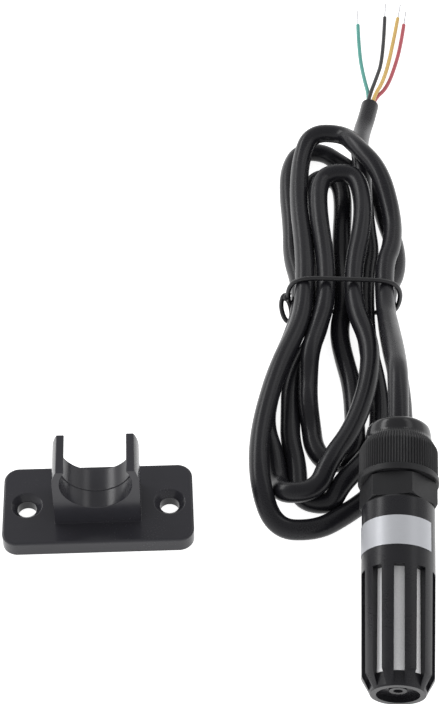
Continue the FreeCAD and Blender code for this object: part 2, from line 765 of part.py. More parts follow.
def cable_tail():
    """The cable from the tie to the end of its jacket."""
    points = [hank_point(*p) for p in TAIL_POINTS]
    return swept(rounded_route(points, "cable_tail"), CABLE_RADIUS, "cable_tail")


def lead_route(colour):
    """Points of one stripped core, from its place in the jacket's end face."""
    end = hank_point(*TAIL_POINTS[-1])
    way = (end - hank_point(*TAIL_POINTS[-2])).normalize()
    side = way.cross(Vector(0, 0, 1)).normalize()
    up = side.cross(way)
    across, above = LEAD_SIDES[colour]
    start = end + side * (across * LEAD_OFFSET) + up * (above * LEAD_OFFSET)
    return [start, start + way * LEAD_START] + [hank_point(*p) for p in LEAD_POINTS[colour]]


def lead(colour):
    name = "lead_" + colour
    return swept(rounded_route(lead_route(colour), name), LEAD_RADIUS, name)


def bare_tips():
    """Tinned strands beyond the insulation of the four cores."""
    tips = []
    for colour in LEAD_POINTS:
        points = lead_route(colour)
        way = (points[-1] - points[-2]).normalize()
        tips.append(Part.makeCylinder(BARE_RADIUS, BARE_LENGTH, points[-1], way))
    return Part.makeCompound(tips)


def twist_tie():
    """Thin wire round the hank's waist, its ends twisted into a small loop."""
    grip = CABLE_RADIUS + TIE_CLEARANCE + TIE_WIRE_RADIUS
    left = min(LOW_STRANDS) - grip
    right = max(LOW_STRANDS) + grip
    top = TIED_HIGH + grip
    bottom = TIED_LOW - grip
    # The wire goes round an outer strand as the sides of an octagon do
    bend = grip * math.tan(math.pi / 8)
    outline = [
        (0, bottom), (max(LOW_STRANDS) + bend, bottom), (right, TIED_LOW - bend),
        (right, TIED_HIGH + bend), (max(HIGH_STRANDS) + bend, top), (0, top),
        (min(HIGH_STRANDS) - bend, top), (left, TIED_HIGH + bend), (left, TIED_LOW - bend),
        (min(LOW_STRANDS) - bend, bottom), (0, bottom),
    ]
    corners = [hank_point(v, 0, z) for v, z in outline]
    edges = []
    here = corners[0]
    for before, corner, after in zip(corners, corners[1:], corners[2:]):
        run_in = corner - before
        run_out = after - corner
        way_in = Vector(run_in).normalize()
        way_out = Vector(run_out).normalize()
        if way_in.getAngle(way_out) < 1e-6:
            continue
        setback = CORNER_SHARE * min(run_in.Length, run_out.Length)
        start = corner - way_in * setback
        end = corner + way_out * setback
        edges.append(Part.LineSegment(here, start).toShape())
        arc, _ = arc_between(start, way_in, end)
        edges.append(arc)
        here = end
    edges.append(Part.LineSegment(here, corners[-1]).toShape())
    band = swept(edges, TIE_WIRE_RADIUS, "twist_tie")

    height = TIE_TWIST_RADIUS + 0.2
    outward = hank_heading(215)
    foot = hank_point(left - TIE_WIRE_RADIUS / 2, 0, TIED_LOW)
    twist_end = hank_point(left, 0, height) + outward * TIE_TWIST_LENGTH
    way = (twist_end - foot).normalize()
    twist = Part.makeCylinder(TIE_TWIST_RADIUS, (twist_end - foot).Length, foot, way)
    centre = twist_end + outward * TIE_LOOP_RADIUS
    eye = Part.makeTorus(TIE_LOOP_RADIUS, TIE_WIRE_RADIUS, centre, Vector(0, 0, 1))
    return band.fuse([twist, eye])


CORE_COLOURS = ("green", "black", "yellow", "red")


def build():
    """Every piece under the name of its node."""
    pieces = {
        "bracket": bracket(),
        "sensor_housing": on_probe(sensor_housing()),
        "label": on_probe(label()),
        "filter_sleeve": on_probe(filter_sleeve()),
        "housing_gasket": on_probe(gasket()),
        "gland_body": on_probe(gland_body()),
        "sealing_nut": on_probe(sealing_nut()),
        "clamp_claw": on_probe(clamp_claw()),
        "seal_bush": on_probe(seal_bush()),
        "circuit_board": on_probe(circuit_board()),
        "sensor_chip": on_probe(sensor_chip()),
        "board_parts": on_probe(board_parts()),
        "solder_joints": on_probe(solder_joints()),
        "cable_inlet": on_probe(cable_inlet()),
        "cable_run": cable_run(),
        "cable_hank": cable_hank(),
        "cable_tail": cable_tail(),
        "bare_tips": bare_tips(),
        "twist_tie": twist_tie(),
    }
    for index, colour in enumerate(CORE_COLOURS):
        name = "inner_wire_" + colour
        pieces[name] = on_probe(inner_wire(index, name))
        pieces["lead_" + colour] = lead(colour)
    return pieces


os.makedirs("parts", exist_ok=True)
for node, shape in build().items():
    if not shape.isValid():
        print("not valid:", node)
    shape.exportStep("parts/%s.step" % node)
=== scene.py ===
import math

import bmesh
import bpy
from bpy.props import FloatProperty, FloatVectorProperty, PointerProperty
from mathutils import Matrix, Vector


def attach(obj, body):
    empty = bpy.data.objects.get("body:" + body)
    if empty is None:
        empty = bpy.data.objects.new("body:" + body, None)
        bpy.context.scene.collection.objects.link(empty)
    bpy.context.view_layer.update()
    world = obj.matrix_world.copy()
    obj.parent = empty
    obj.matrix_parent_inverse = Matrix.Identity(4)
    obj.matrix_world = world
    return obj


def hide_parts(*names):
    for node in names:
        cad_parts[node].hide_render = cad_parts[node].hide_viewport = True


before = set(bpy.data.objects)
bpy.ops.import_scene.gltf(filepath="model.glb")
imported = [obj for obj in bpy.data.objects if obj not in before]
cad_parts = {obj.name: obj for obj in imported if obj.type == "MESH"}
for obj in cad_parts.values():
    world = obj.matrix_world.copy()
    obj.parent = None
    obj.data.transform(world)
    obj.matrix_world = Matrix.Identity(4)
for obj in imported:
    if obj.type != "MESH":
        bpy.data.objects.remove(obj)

bl_info = {
    "name": "Wired climate probe and clip",
    "version": (1, 0, 0),
    "blender": (4, 5, 0),
    "location": "3D View > Sidebar > Climate probe",
    "description": "Dresses a slotted probe, its tied cable and its clip bracket",
    "category": "Object",
}

MM = 0.001

# Sizes below are in millimetres and angles in degrees, unless a comment says otherwise.

# The probe lies on the table with its tip shoulder down, its gland end raised: the place
# of its tip, its turn on the table and its rise
PROBE_X = 62.5
PROBE_Y = -54.7
PROBE_YAW = 5.1
PROBE_TILT = 12.0
SHOULDER_RADIUS = 7.7
TIP_CONE_LENGTH = 3.4

# Where the cable leaves the nut, from the probe's tip, and how far it runs straight on
CABLE_EXIT = 61.85
CABLE_STRAIGHT = 14.0

# The clip's bore, and the fine moulded ridge round it: its place along the bore, its
# own radius, and the angles that it runs over
CLIP_BORE_RADIUS = 8.05
CLIP_AXIS_HEIGHT = 17.55
RIDGE_PLACE = -0.6
RIDGE_RADIUS = 0.14
RIDGE_ANGLES = range(195, 346, 10)

# The nut's ribs, the share of their depth at each step across one, the row of the form
# that the polished dome starts from, and the angle from which an edge shows as sharp
NUT_RIBS = 84
RIB_PROFILE = (0.0, 0.25, 1.0, 0.25)
DOME_ROW = 12
NUT_SHARP_ANGLE = 40

# The nut's form from its lower bore round its outside and in at its mouth: radius,
# distance along the probe, depth of the ribs
NUT_ROWS = (
    (6.26, 48.45, 0), (8.8, 48.45, 0), (8.95, 48.6, 0), (8.95, 49.8, 0), (8.8, 49.95, 0),
    (8.74, 50.0, 0.28), (8.75, 50.4, 0.28), (8.75, 56.3, 0.28), (8.68, 56.65, 0.28),
    (8.45, 57.05, 0.28), (8.1, 57.75, 0.25), (7.8, 58.3, 0.18), (7.62, 58.5, 0.04),
    (7.5, 58.6, 0), (7.42, 59.5, 0), (7.3, 60.6, 0), (7.2, 61.35, 0), (7.03, 61.95, 0),
    (6.6, 62.4, 0), (6.1, 62.6, 0), (5.85, 62.65, 0), (5.55, 62.62, 0), (5.4, 62.45, 0),
    (5.35, 62.1, 0), (3.6, 62.05, 0), (3.4, 61.9, 0), (3.4, 61.05, 0), (4.3, 61.05, 0),
    (5.35, 54.65, 0), (6.26, 54.65, 0),
)

# The folded cable lies on the table. It is tied where its strands cross the across axis,
# in two layers. LOW is the height of a strand that lies on the table
TIE_X = 61.0
TIE_Y = 61.0
HANK_YAW = 4.5
CABLE_RADIUS = 2.4
LOW = CABLE_RADIUS
TIED_LOW = 3.9
TIED_HIGH = 9.15
HIGH_STRANDS = (-9.9, -4.6, 2.2, 9.9)
LOW_STRANDS = (-10.7, -5.35, 0.0, 5.35, 10.7)

# The turns of the hank, each from tie to tie by its stations: across, along, height and
# heading from the across axis
HANK_TURNS = (
    (
        (HIGH_STRANDS[3], 0.0, TIED_HIGH, 90),
        (12.3, 19.5, 9.3, 89),
        (5.3, 45.2, 13.3, 124),
        (-4.4, 56.4, 10.3, 180),
        (-11.5, 44.0, 8.0, 268),
        (HIGH_STRANDS[0], 0.0, TIED_HIGH, 270),
        (-12.7, -17.5, 8.8, 250),
        (-19.8, -56.0, 8.3, 271),
        (-10.3, -70.0, LOW, 0),
        (2.4, -63.2, LOW, 43),
        (13.9, -36.0, LOW, 90),
    ),
    (
        (LOW_STRANDS[4], 0.0, TIED_LOW, 90),
        (13.7, 17.0, LOW, 90),
        (10.4, 36.0, LOW, 100),
        (0.6, 52.4, LOW, 138),
        (-7.6, 57.6, LOW, 180),
        (-14.3, 46.0, LOW, 270),
        (-13.1, 22.0, 2.6, 271),
        (LOW_STRANDS[0], 0.0, TIED_LOW, 270),
        (-14.4, -17.0, 2.7, 252),
        (-18.4, -35.0, LOW, 265),
        (-15.7, -54.0, 2.8, 276),
        (-10.3, -62.9, 7.2, 10),
        (-1.8, -51.4, 8.8, 60),
        (5.9, -25.0, 8.8, 86),
    ),
    (
        (HIGH_STRANDS[2], 0.0, TIED_HIGH, 90),
        (4.7, 29.0, 10.4, 90),
        (-1.1, 40.4, 10.8, 178),
        (-6.6, 35.0, 10.0, 269),
        (HIGH_STRANDS[1], 0.0, TIED_HIGH, 270),
        (-7.6, -17.0, 8.0, 256),
        (-8.7, -31.0, 5.4, 270),
        (-7.4, -43.4, LOW, 276),
        (-2.1, -50.0, LOW, 2),
        (2.8, -44.4, LOW, 92),
        (0.9, -21.0, LOW, 102),
        (-0.9, -9.0, 3.1, 90),
    ),
    (
        (LOW_STRANDS[2], 0.0, TIED_LOW, 90),
        (-0.3, 20.0, LOW, 90),
        (0.0, 40.0, LOW, 92),
        (-4.2, 47.2, LOW, 180),
        (-8.8, 40.2, LOW, 269),
        (LOW_STRANDS[1], 0.0, TIED_LOW, 270),
        (-12.7, -34.0, LOW, 270),
        (-12.0, -47.0, LOW, 282),
        (-5.8, -62.4, 2.6, 350),
        (0.6, -57.4, 6.2, 52),
        (8.4, -36.0, 2.9, 90),
    ),
)
HANK_END = (LOW_STRANDS[3], 0.0, TIED_LOW, 90)

# How far inside its first and its last station the hank starts and ends
HANK_LEAD = 2 * CABLE_RADIUS

# Bends of the cable before and after the hank: across, along and height
RUN_POINTS = (
    (11.2, -29.0, 18.0),
    (10.5, -15.0, 12.0),
    (HIGH_STRANDS[3], -7.0, TIED_HIGH),
)
TAIL_POINTS = (
    (LOW_STRANDS[3], 9.0, TIED_LOW),
    (7.2, 19.0, LOW),
    (6.0, 29.5, 2.6),
    (5.1, 39.0, 7.0),
    (4.8, 47.3, 8.3),
    (4.3, 55.5, 6.2),
    (5.4, 66.0, 2.9),
    (6.9, 72.5, LOW),
    (7.8, 77.6, LOW),
)

# Below this the two directions of a bend count as parallel
PARALLEL = 1e-9

# The four stripped cores beyond the jacket: how far each lies from the jacket's centre,
# to which side, how far it runs straight on, and its points: across, along and height
LEAD_RADIUS = 0.55
LEAD_OFFSET = 0.66
LEAD_START = 4.0
LEAD_POINTS = {
    "green": ((6.3, 91.5, 1.2), (5.2, 103.0, 0.6), (5.0, 115.7, 0.6)),
    "black": ((9.5, 88.5, 2.3), (12.0, 100.0, 0.9), (12.9, 119.6, 0.6)),
    "yellow": ((11.7, 88.5, 2.1), (14.2, 101.5, 0.8), (16.7, 119.4, 0.6)),
    "red": ((12.8, 86.8, 1.2), (15.7, 98.5, 0.6), (17.4, 108.0, 0.6), (18.4, 116.3, 0.6)),
}
LEAD_SIDES = {"green": (-1, -1), "black": (-1, 1), "yellow": (1, 1), "red": (1, -1)}

# The tinned strands at a core's end: one straight, the others wound round it
BARE_LENGTH = 6.55
STRAND_COUNT = 6
STRAND_RADIUS = 0.085
STRAND_OFFSET = 0.16
STRAND_TURNS = 1.5

# Points in one turn of a wound strand
HELIX_STEPS = 10

# The wire that ties the hank, and how its two ends wind round each other
TIE_WIRE_RADIUS = 0.6
TIE_CLEARANCE = 0.2
TIE_TWIST_RADIUS = 0.5
TIE_TURNS = 1.0

# The loop at the end of the tie: its upper end, lower end and outer side, each as
# across, along and height
TIE_LOOP = ((-15.0, 0.9, 4.3), (-13.4, -4.6, 1.3), (-15.3, -2.4, 2.6))
TIE_LOOP_ANGLES = range(0, 360, 30)

# Edges of the moulded pieces: the shares of the set rounding, the label's own rounding,
# the steps of a rounding and the angle from which an edge gets one
HOUSING_EDGE_SHARE = 0.8
HEXAGON_EDGE_SHARE = 1.5
LABEL_EDGE = 0.03
EDGE_SEGMENTS = 2
EDGE_ANGLE = 32

# Before its edges are rounded, a mesh is welded and its flat faces are made whole
WELD_DISTANCE = 0.001
FLAT_ANGLE = 0.5

# How much paler the bracket is than the housing
BRACKET_PALER = 2.2

# Colours of the metals and of what is hidden inside
TINNED_SILVER = (0.66, 0.66, 0.68)
LID_SILVER = (0.68, 0.68, 0.7)
SOLDER_SILVER = (0.7, 0.7, 0.72)
CLAW_BLACK = (0.05, 0.05, 0.055)
SEAL_BLACK = (0.03, 0.03, 0.03)
GASKET_BLACK = (0.018, 0.018, 0.02)
RESIN_BLACK = (0.035, 0.035, 0.037)
MASK_GREEN = (0.02, 0.16, 0.07)
TABLE_WHITE = (0.8, 0.8, 0.8)

# Sockets of the node that mixes two colours
MIX_FACTOR = 0
MIX_A = 6
MIX_B = 7
MIX_RESULT = 2

# Soft boxes: name, place in metres and share of the key light; their aim and size are in
# metres too
SOFT_BOXES = (
    ("left_box", (-0.51, 0.45, 0.42), 0.65),
    ("right_box", (0.5, 0.35, 0.62), 0.2),
)
BOX_AIM = (0.03, 0.05, 0.0)
BOX_WIDTH = 0.2
BOX_LENGTH = 0.7

# The surroundings darken between these heights, from 0 at the horizon to 1 overhead
SKY_FALL_FROM = 0.3
SKY_FALL_TO = 0.85

# Camera: where it aims, how far it stands, and the angle of the photograph. The sensor's
# size is that of its longer side
CAMERA_AIM = (29.67, 49.07, 0.0)
CAMERA_DISTANCE = 467.3
CAMERA_ELEVATION = 47.74
CAMERA_AZIMUTH = -2.58
CAMERA_ROLL = 0.39
CAMERA_LENS = 96.9
CAMERA_SENSOR = 36.0
CAMERA_NEAR = 10.0
CAMERA_FAR = 20000.0


class ProbeFinish(bpy.types.PropertyGroup):
    """Colours of the probe and its bracket."""

    plastic: FloatVectorProperty(
        name="Moulded plastic", description="Black of the bracket and the housing",
        default=(0.014, 0.0138, 0.0165), size=3, subtype="COLOR", min=0, max=1)
    nylon: FloatVectorProperty(
        name="Gland nylon", description="Black of the hexagon and the ribbed nut",
        default=(0.012, 0.012, 0.0135), size=3, subtype="COLOR", min=0, max=1)
    foil: FloatVectorProperty(
        name="Label foil", description="Silver of the bare label",
        default=(0.5, 0.51, 0.54), size=3, subtype="COLOR", min=0, max=1)
    filter: FloatVectorProperty(
        name="Filter", description="Pale filter behind the slots",
        default=(0.96, 0.96, 0.98), size=3, subtype="COLOR", min=0, max=1)
    edge: FloatProperty(
        name="Edge rounding", description="Rounding of the moulded edges",
        default=0.16 * MM, min=0, unit="LENGTH")


class CableFinish(bpy.types.PropertyGroup):
    """Colours of the cable, its cores and its tie."""

    jacket: FloatVectorProperty(
        name="Jacket", description="Black of the cable's sheath",
        default=(0.012, 0.0118, 0.0145), size=3, subtype="COLOR", min=0, max=1)
    green: FloatVectorProperty(
        name="Green core", description="Insulation of the green core",
        default=(0.075, 0.34, 0.29), size=3, subtype="COLOR", min=0, max=1)
    black: FloatVectorProperty(
        name="Black core", description="Insulation of the black core",
        default=(0.012, 0.012, 0.015), size=3, subtype="COLOR", min=0, max=1)
    yellow: FloatVectorProperty(
        name="Yellow core", description="Insulation of the yellow core",
        default=(0.69, 0.45, 0.12), size=3, subtype="COLOR", min=0, max=1)
    red: FloatVectorProperty(
        name="Red core", description="Insulation of the red core",
        default=(0.47, 0.075, 0.1), size=3, subtype="COLOR", min=0, max=1)
    tie: FloatVectorProperty(
        name="Wire tie", description="Plastic coat of the wire tie",
        default=(0.008, 0.008, 0.01), size=3, subtype="COLOR", min=0, max=1)


class StageSettings(bpy.types.PropertyGroup):
    """Light and floor of the studio."""

    key_power: FloatProperty(
        name="Key light", description="Power shared out to the two soft boxes",
        default=3.0, min=0, unit="POWER")
    ambient: FloatProperty(
        name="Ambient", description="Strength of the soft light from all round",
        default=1.1, min=0)
    ceiling: FloatProperty(
        name="Ceiling", description="Brightness overhead, as a share of the horizon's",
        default=0.5, min=0, max=1)
    floor_glow: FloatProperty(
        name="Table glow", description="How brightly the table shows by itself",
        default=0.9, min=0)
    floor_size: FloatProperty(
        name="Floor size", description="Side of the floor",
        default=6.0, min=1, unit="LENGTH")


def probe_axis():
    """Direction of the probe from its tip to its gland."""
    yaw = math.radians(PROBE_YAW)
    tilt = math.radians(PROBE_TILT)
    return Vector((math.sin(yaw) * math.cos(tilt), math.cos(yaw) * math.cos(tilt),
                   math.sin(tilt)))


def on_probe(distance):
    """A point of the probe's axis, measured in millimetres from its tip."""
    tilt = math.radians(PROBE_TILT)
    height = SHOULDER_RADIUS * math.cos(tilt) - TIP_CONE_LENGTH * math.sin(tilt)
    return Vector((PROBE_X, PROBE_Y, height)) + probe_axis() * distance


def on_hank(across, along, height):
    """A point of the folded cable, in millimetres in the part's frame."""
    yaw = math.radians(HANK_YAW)
    return Vector((
        TIE_X + across * math.cos(yaw) + along * math.sin(yaw),
        TIE_Y - across * math.sin(yaw) + along * math.cos(yaw),
        height,
    ))


def hank_heading(degrees):
    """A level direction of the folded cable."""
    angle = math.radians(degrees - HANK_YAW)
    return Vector((math.cos(angle), math.sin(angle), 0))


def span_corners(start, way_in, end, way_out):
    """The two points where a bend between two stations leaves its end directions."""
    chord = end - start
    slope = chord.dot(way_in + way_out)
    turn = 2 * (1 - way_in.dot(way_out))
    reach = chord.dot(chord)
    if turn < PARALLEL:
        tangent = reach / (4 * chord.dot(way_out))
    else:
        tangent = (math.sqrt(slope ** 2 + turn * reach) - slope) / turn
    return [start + way_in * tangent, end - way_out * tangent]


def hank_points():
    """Control points of the hank's turns, two for each span between stations."""
    stations = [s for turn in HANK_TURNS for s in turn] + [HANK_END]
    places = [on_hank(*s[:3]) for s in stations]
    ways = [hank_heading(s[3]) for s in stations]
    places[0] = places[0] + ways[0] * HANK_LEAD
    places[-1] = places[-1] - ways[-1] * HANK_LEAD
    points = []
    for i in range(len(places) - 1):
        points += span_corners(places[i], ways[i], places[i + 1], ways[i + 1])
    return points


def cable_points():
    """Control points of the whole cable, from the gland's mouth to its stripped end."""
    points = [on_probe(CABLE_EXIT), on_probe(CABLE_EXIT + CABLE_STRAIGHT)]
    points += [on_hank(*p) for p in RUN_POINTS]
    points += hank_points()
    points += [on_hank(*p) for p in TAIL_POINTS]
    return [p * MM for p in points]


def cross_axes(way):
    """The level direction square to a line, and the one square to both."""
    across = way.cross(Vector((0, 0, 1))).normalized()
    return across, across.cross(way)


def lead_points(colour):
    """Control points of one stripped core, from its place in the jacket's end."""
    end = on_hank(*TAIL_POINTS[-1])
    way = (end - on_hank(*TAIL_POINTS[-2])).normalized()
    side, up = cross_axes(way)
    across, above = LEAD_SIDES[colour]
    start = end + side * (across * LEAD_OFFSET) + up * (above * LEAD_OFFSET)
    points = [start, start + way * LEAD_START]
    points += [on_hank(*p) for p in LEAD_POINTS[colour]]
    return [p * MM for p in points]


def link(obj):
    """Puts an object into the scene."""
    bpy.context.scene.collection.objects.link(obj)
    return obj


def dress(obj, body, nodes=()):
    """Puts a piece on its body, in place of the frame's nodes that it stands for."""
    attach(obj, body)
    if nodes:
        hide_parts(*nodes)


def connect(holder, output, socket):
    """Joins two sockets of a material or a world."""
    holder.node_tree.links.new(output, socket)


def add_node(holder, kind, inputs=None, **settings):
    """A node of a material or a world, with its settings, and its inputs set or linked."""
    made = holder.node_tree.nodes.new(kind)
    for key, value in settings.items():
        setattr(made, key, value)
    for key, value in (inputs or {}).items():
        if isinstance(value, bpy.types.NodeSocket):
            connect(holder, value, made.inputs[key])
        else:
            made.inputs[key].default_value = value
    return made


def new_material(name, **inputs):
    """A material and its shader, which has the given constant inputs."""
    material = bpy.data.materials.new(name)
    material.use_nodes = True
    shader = material.node_tree.nodes["Principled BSDF"]
    for key, value in inputs.items():
        shader.inputs[key.replace("_", " ")].default_value = value
    return material, shader


def object_place(material):
    """Place on the object, so that a pattern looks alike in every view."""
    return add_node(material, "ShaderNodeTexCoord").outputs["Object"]


def surface_noise(material, size, detail, stretch=None):
    """Noise with features of the given size in metres, turned and stretched or not."""
    place = object_place(material)
    if stretch:
        place = add_node(material, "ShaderNodeMapping", {
            "Vector": place, "Rotation": stretch[0], "Scale": stretch[1],
        }).outputs["Vector"]
    return add_node(material, "ShaderNodeTexNoise", {
        "Vector": place, "Scale": 1 / size, "Detail": detail,
    }).outputs["Fac"]


def surface_cells(material, size, **settings):
    """Round or square cells of the given size in metres."""
    return add_node(material, "ShaderNodeTexVoronoi", {
        "Vector": object_place(material), "Scale": 1 / size,
    }, **settings).outputs["Distance"]


def spread(holder, factor, low, high, start=0.3, end=0.7):
    """A factor that runs from start to end, spread between two values."""
    return add_node(holder, "ShaderNodeMapRange", {
        "Value": factor, "From Min": start, "From Max": end, "To Min": low, "To Max": high,
    }).outputs["Result"]


def shade(colour, amount):
    """A colour made lighter or darker, with its alpha."""
    return (*(min(1.0, c * amount) for c in colour), 1)


def tint(material, shader, colour, factor, contrast):
    """Colours a surface between a darker and a lighter shade of one colour."""
    mix = add_node(material, "ShaderNodeMix", {
        MIX_FACTOR: factor, MIX_A: shade(colour, 1 - contrast),
        MIX_B: shade(colour, 1 + contrast),
    }, data_type="RGBA")
    connect(material, mix.outputs[MIX_RESULT], shader.inputs["Base Color"])


def roughen(material, shader, factor, gloss, **limits):
    """Makes the roughness follow a factor between the two values of a gloss."""
    rough = spread(material, factor, *gloss, **limits)
    connect(material, rough, shader.inputs["Roughness"])


def relief(material, shader, height, depth, strength=1.0, below=None):
    """Bumps of the given depth in metres, on top of coarser ones if there are any."""
    inputs = {"Height": height, "Distance": depth, "Strength": strength}
    if below:
        inputs["Normal"] = below
    bump = add_node(material, "ShaderNodeBump", inputs).outputs["Normal"]
    connect(material, bump, shader.inputs["Normal"])
    return bump


def seen_directly(holder):
    """One for rays from the camera, a mirror or glass, and nought for the rest."""
    path = add_node(holder, "ShaderNodeLightPath")
    total = path.outputs["Is Camera Ray"]
    for ray in ("Is Glossy Ray", "Is Transmission Ray"):
        total = add_node(holder, "ShaderNodeMath", {0: total, 1: path.outputs[ray]},
                         operation="ADD", use_clamp=True).outputs[0]
    return total


def moulded(name, colour, gloss, grain, depth, blotch=7 * MM, contrast=0.12, wave=3.0,
            **inputs):
    """Moulded plastic or rubber: cloudy colour, uneven gloss and a fine grain."""
    material, shader = new_material(name, **inputs)
    cloud = surface_noise(material, blotch, detail=4)
    tint(material, shader, colour, cloud, contrast)
    fine = surface_noise(material, grain, detail=5)
    shine = add_node(material, "ShaderNodeMath", {0: cloud, 1: fine},
                     operation="ADD").outputs[0]
    # Two noises are added up, so that their sum lies about one
    roughen(material, shader, shine, gloss, start=0.7, end=1.3)
    swell = relief(material, shader, cloud, depth * wave, strength=0.6)
    relief(material, shader, fine, depth, below=swell)
    return material


def bracket_plastic(finish):
    """Glossy black with the faint waviness of a moulded face."""
    colour = tuple(BRACKET_PALER * c for c in finish.plastic)
    return moulded("bracket_plastic", colour, gloss=(0.18, 0.28), grain=0.5 * MM,
                   depth=0.004 * MM, blotch=9 * MM, Specular_IOR_Level=0.34)


def housing_plastic(finish):
    """Semi-gloss black with a fine spark-eroded grain."""
    return moulded("housing_plastic", finish.plastic, gloss=(0.24, 0.34), grain=0.22 * MM,
                   depth=0.006 * MM, blotch=6 * MM, contrast=0.15, Specular_IOR_Level=0.27)


def gland_nylon(finish):
    """Matt black nylon."""
    return moulded("gland_nylon", finish.nylon, gloss=(0.42, 0.58), grain=0.28 * MM,
                   depth=0.012 * MM, blotch=5 * MM, contrast=0.2, Specular_IOR_Level=0.3)


def dome_nylon(finish):
    """The same nylon, polished."""
    return moulded("dome_nylon", finish.nylon, gloss=(0.14, 0.2), grain=0.3 * MM,
                   depth=0.004 * MM, blotch=5 * MM, contrast=0.15, Specular_IOR_Level=0.3)


def label_foil(finish):
    """Silver sticker, brushed round the tube, with a slightly wavy face."""
    material, shader = new_material("label_foil", Metallic=0.35)
    along_the_probe = (math.radians(-PROBE_TILT), 0, math.radians(PROBE_YAW))
    brushed = surface_noise(material, size=0.14 * MM, detail=4,
                            stretch=(along_the_probe, (0.06, 1, 0.06)))
    cloud = surface_noise(material, size=4 * MM, detail=2)
    tint(material, shader, finish.foil, brushed, contrast=0.05)
    roughen(material, shader, brushed, gloss=(0.36, 0.5))
    swell = relief(material, shader, cloud, depth=0.05 * MM, strength=0.5)
    relief(material, shader, brushed, depth=0.004 * MM, strength=0.6, below=swell)
    return material


def filter_mesh(finish):
    """Pale filter cloth of round grains, with painted shade in the hollows between them.
    """
    material, shader = new_material("filter_mesh", Specular_IOR_Level=0.3)
    grains = surface_cells(material, size=0.26 * MM)
    # Lighter at each grain's middle and darker towards its edge: painted shade in the
    # hollows between the grains
    between = spread(material, grains, low=1, high=0, start=0.0)
    tint(material, shader, finish.filter, between, contrast=0.06)
    roughen(material, shader, grains, gloss=(0.6, 0.85))
    relief(material, shader, grains, depth=-0.025 * MM, strength=0.7)
    return material


def cable_jacket(finish):
    """Satin soft sheath, faintly uneven from the extruder."""
    return moulded("cable_jacket", finish.jacket, gloss=(0.24, 0.32), grain=0.4 * MM,
                   depth=0.001 * MM, blotch=6 * MM, contrast=0.16, wave=1.0,
                   Specular_IOR_Level=0.25)


def core_insulation(name, colour):
    """Smooth glossy insulation of a thin core."""
    return moulded(name, colour, gloss=(0.3, 0.42), grain=0.3 * MM, depth=0.006 * MM,
                   blotch=2.5 * MM, contrast=0.1)


def soft_rubber(name, colour):
    """Dull rubber of a seal."""
    return moulded(name, colour, gloss=(0.6, 0.75), grain=0.3 * MM, depth=0.015 * MM,
                   blotch=4 * MM, contrast=0.2)


def plain_metal(name, colour, gloss, grain):
    """Drawn or tinned metal with fine marks."""
    material, shader = new_material(name, Metallic=1.0)
    marks = surface_noise(material, grain, detail=4)
    tint(material, shader, colour, marks, contrast=0.1)
    roughen(material, shader, marks, gloss)
    relief(material, shader, marks, depth=0.006 * MM, strength=0.7)
    return material


def board_laminate():
    """Green solder mask over a woven laminate."""
    material, shader = new_material("board_laminate", IOR=1.5)
    weave = surface_cells(material, size=0.6 * MM, distance="CHEBYCHEV")
    tint(material, shader, MASK_GREEN, weave, contrast=0.25)
    roughen(material, shader, weave, gloss=(0.3, 0.42))
    relief(material, shader, weave, depth=0.02 * MM, strength=0.5)
    return material


def finish_node(name, material):
    """Gives one of the frame's own pieces its finish."""
    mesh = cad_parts[name].data
    if not mesh.materials:
        mesh.materials.append(material)
    for i in range(len(mesh.materials)):
        mesh.materials[i] = material


def wires(name, lines, radius, material, closed=(), sides=4, steps=8):
    """Round wires, each a smooth spline along its own points, some closed into rings."""
    curve = bpy.data.curves.new(name, "CURVE")
    curve.dimensions = "3D"
    curve.bevel_depth = radius
    curve.bevel_resolution = sides
    curve.use_fill_caps = True
    curve.resolution_u = steps
    for index, line in enumerate(lines):
        spline = curve.splines.new("NURBS")
        spline.points.add(len(line) - 1)
        for point, place in zip(spline.points, line):
            point.co = (*place, 1)
        spline.order_u = 3
        if index in closed:
            spline.use_cyclic_u = True
        else:
            spline.use_endpoint_u = True
    curve.materials.append(material)
    return link(bpy.data.objects.new(name, curve))


def round_cord(name, points, radius, material, sides=7):
    """A cord: one open smooth spline with a round section."""
    return wires(name, [points], radius, material, sides=sides, steps=10)


def helix(start, way, length, radius, turns, phase):
    """Points of a strand that winds round a straight line."""
    across, above = cross_axes(way)
    count = int(turns * HELIX_STEPS)
    line = []
    for i in range(count + 1):
        angle = phase + 2 * math.pi * turns * i / count
        line.append(start + way * (length * i / count)
                    + across * (radius * math.cos(angle))
                    + above * (radius * math.sin(angle)))
    return line


def smoothed(mesh, angle):
    """Smooth faces that meet below the angle, sharp edges elsewhere."""
    mesh.shade_smooth()
    mesh.set_sharp_from_angle(angle=math.radians(angle))
    return mesh


def softened(node, name, width, material):
    """A copy of a node's form with its sharp edges rounded, in the node's place."""
    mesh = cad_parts[node].data.copy()
    mesh.name = name
    if "custom_normal" in mesh.attributes:
        mesh.attributes.remove(mesh.attributes["custom_normal"])
    form = bmesh.new()
    form.from_mesh(mesh)
    bmesh.ops.remove_doubles(form, verts=form.verts, dist=WELD_DISTANCE * MM)
    bmesh.ops.dissolve_limit(form, angle_limit=math.radians(FLAT_ANGLE), verts=form.verts,
                             edges=form.edges)
    form.to_mesh(mesh)
    form.free()
    mesh.materials.clear()
    mesh.materials.append(material)
    for face in mesh.polygons:
        face.material_index = 0
    obj = link(bpy.data.objects.new(name, mesh))
    bevel = obj.modifiers.new("edges", "BEVEL")
    bevel.width = width
    bevel.segments = EDGE_SEGMENTS
    bevel.limit_method = "ANGLE"
    bevel.angle_limit = math.radians(EDGE_ANGLE)
    bevel.use_clamp_overlap = True
    shaded = bpy.data.meshes.new_from_object(
        obj.evaluated_get(bpy.context.evaluated_depsgraph_get()))
    obj.modifiers.clear()
    obj.data = smoothed(shaded, EDGE_ANGLE)
    obj.data.name = name
    obj.modifiers.new("normals", "WEIGHTED_NORMAL").keep_sharp = True
    return obj


